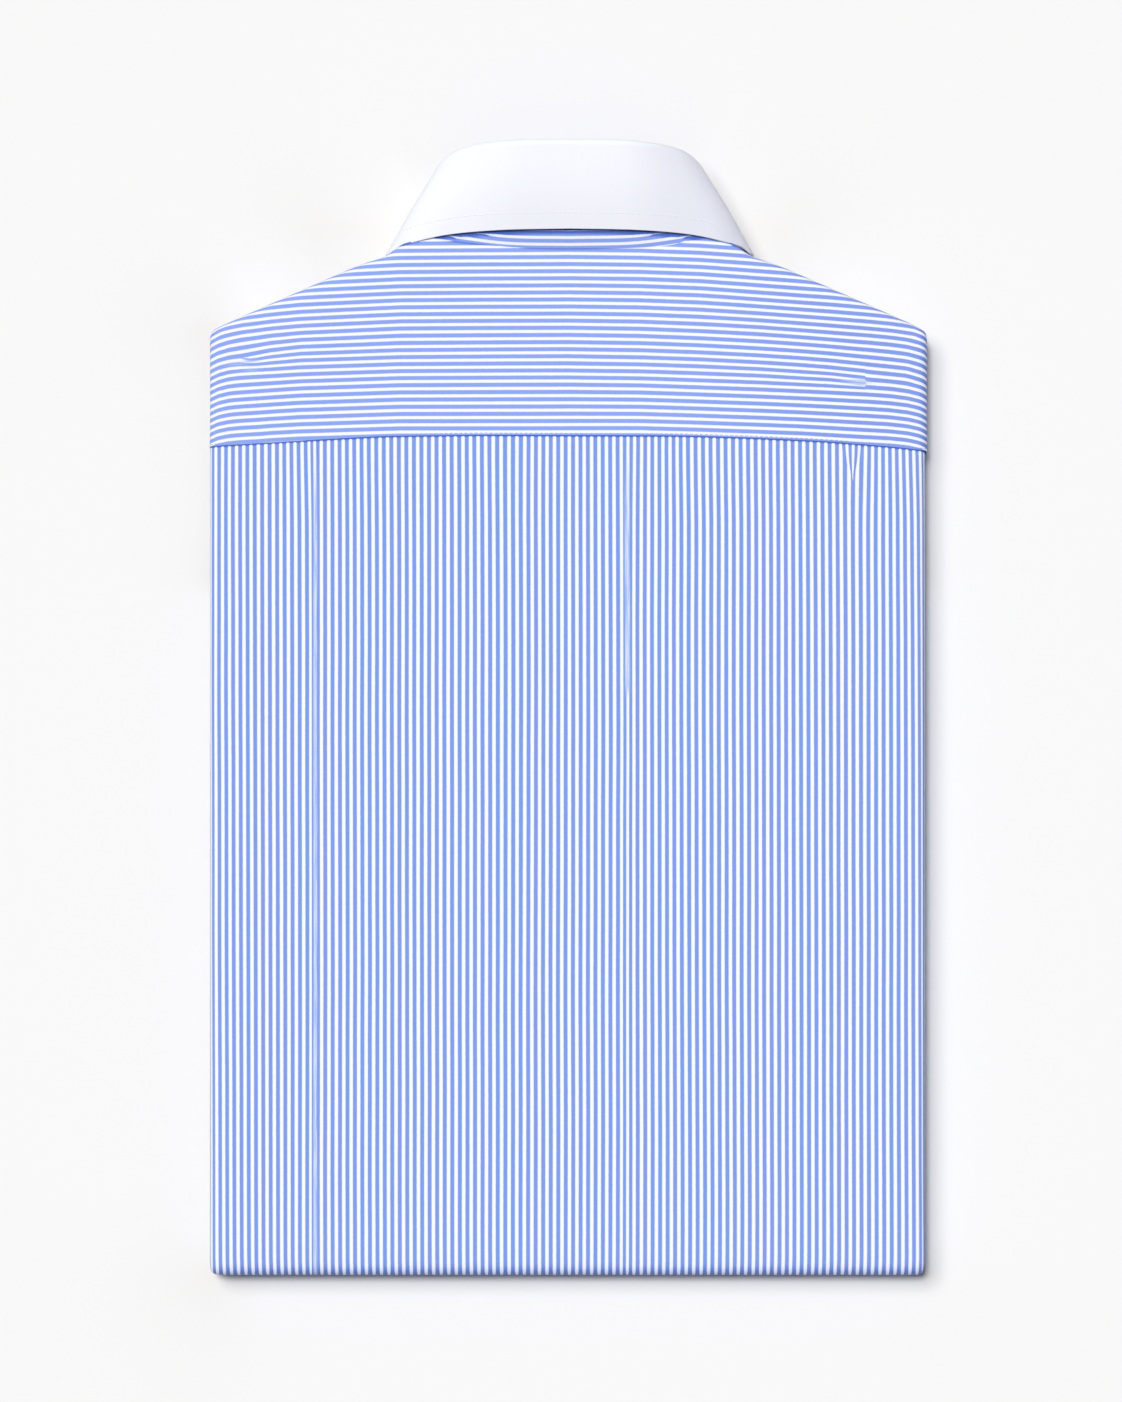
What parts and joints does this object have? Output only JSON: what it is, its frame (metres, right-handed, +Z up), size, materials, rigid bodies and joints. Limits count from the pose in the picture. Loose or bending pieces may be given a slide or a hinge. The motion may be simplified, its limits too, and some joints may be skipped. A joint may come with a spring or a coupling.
{
  "type": "folded dress shirt",
  "caption": "Dress shirt folded flat with its back up: striped cotton body, yoke cut across the stripe, and a plain turned-down collar.",
  "frame": {"origin": "centre of the shirt's bounding box on its underside, on the table that it lies on", "axes": "+X across the shirt to its wearer's right, +Y along the back from the bottom fold to the collar, +Z up from the table to the back that shows"},
  "size_m": [0.2872, 0.4546, 0.042],
  "materials": {
    "striped_cotton": "crisp cotton poplin in narrow blue and white stripes, matt",
    "white_cotton": "plain white cotton poplin, smooth and matt",
    "pearl_button": "pale pearly resin with a soft shine"
  },
  "bodies": {
    "root": {"back_panel": "striped_cotton", "yoke": "striped_cotton", "collar_stand": "striped_cotton", "collar_leaf": "white_cotton", "front_left": "striped_cotton", "front_right": "striped_cotton", "placket": "striped_cotton", "sleeve_left": "striped_cotton", "sleeve_right": "striped_cotton", "folded_layers": "striped_cotton", "button_collar": "pearl_button"}
  },
  "joints": []
}
